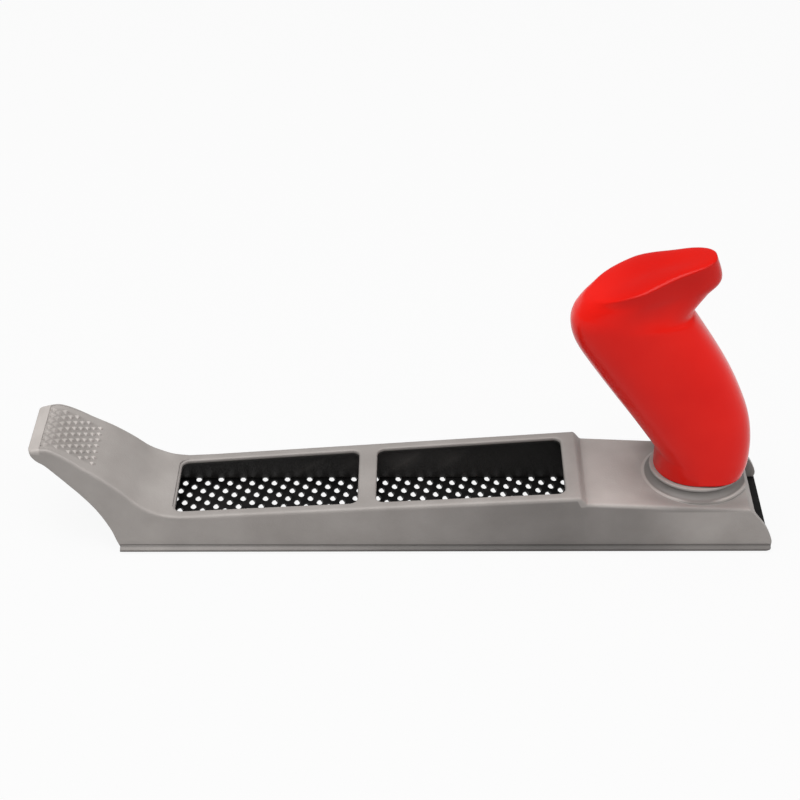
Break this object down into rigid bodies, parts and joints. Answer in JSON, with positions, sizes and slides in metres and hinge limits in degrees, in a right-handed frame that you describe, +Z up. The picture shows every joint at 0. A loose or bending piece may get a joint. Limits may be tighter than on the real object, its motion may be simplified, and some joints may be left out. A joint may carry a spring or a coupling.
{
  "type": "metal rasp",
  "caption": "Long hand rasp: windowed cast body with raised front horn, upright beaked grip on an oval boss, and a punched tension-held blade underneath.",
  "frame": {"origin": "middle of the overall length and width, on the plane of the blade's tooth tips", "axes": "+X along the tool towards the heel and the grip, +Y across it, +Z up"},
  "size_m": [0.2834, 0.0474, 0.1211],
  "materials": {
    "cast_aluminium": "satin as-cast",
    "red_moulding": "glossy moulded",
    "black_steel": "blackened",
    "plated_steel": "zinc plated"
  },
  "bodies": {
    "rasp_body": {"body_casting": "cast_aluminium", "grip": "red_moulding", "blade": "black_steel", "grip_screw_front": "plated_steel", "grip_screw_rear": "plated_steel", "grip_washer_front": "plated_steel", "grip_washer_rear": "plated_steel", "tension_washer": "plated_steel"},
    "tension_screw_body": {"tension_screw": "plated_steel", "retaining_clip": "plated_steel"},
    "hook_carriage": {"hook_plate": "plated_steel", "square_nut": "plated_steel"}
  },
  "joints": [
    {"name": "tension_turn", "type": "hinge", "parent": "rasp_body", "child": "tension_screw_body", "pos_m": [0.12875, 0, 0.008], "axis": [1, 0, 0], "range_deg": [0, 1800]},
    {"name": "hook_slide", "type": "slide", "parent": "rasp_body", "child": "hook_carriage", "axis": [-1, 0, 0], "range_m": [0, 0.004]}
  ],
  "couplings": [
    {"joint": "tension_turn", "follows": "hook_slide", "rad_per_m": 7853.9}
  ]
}
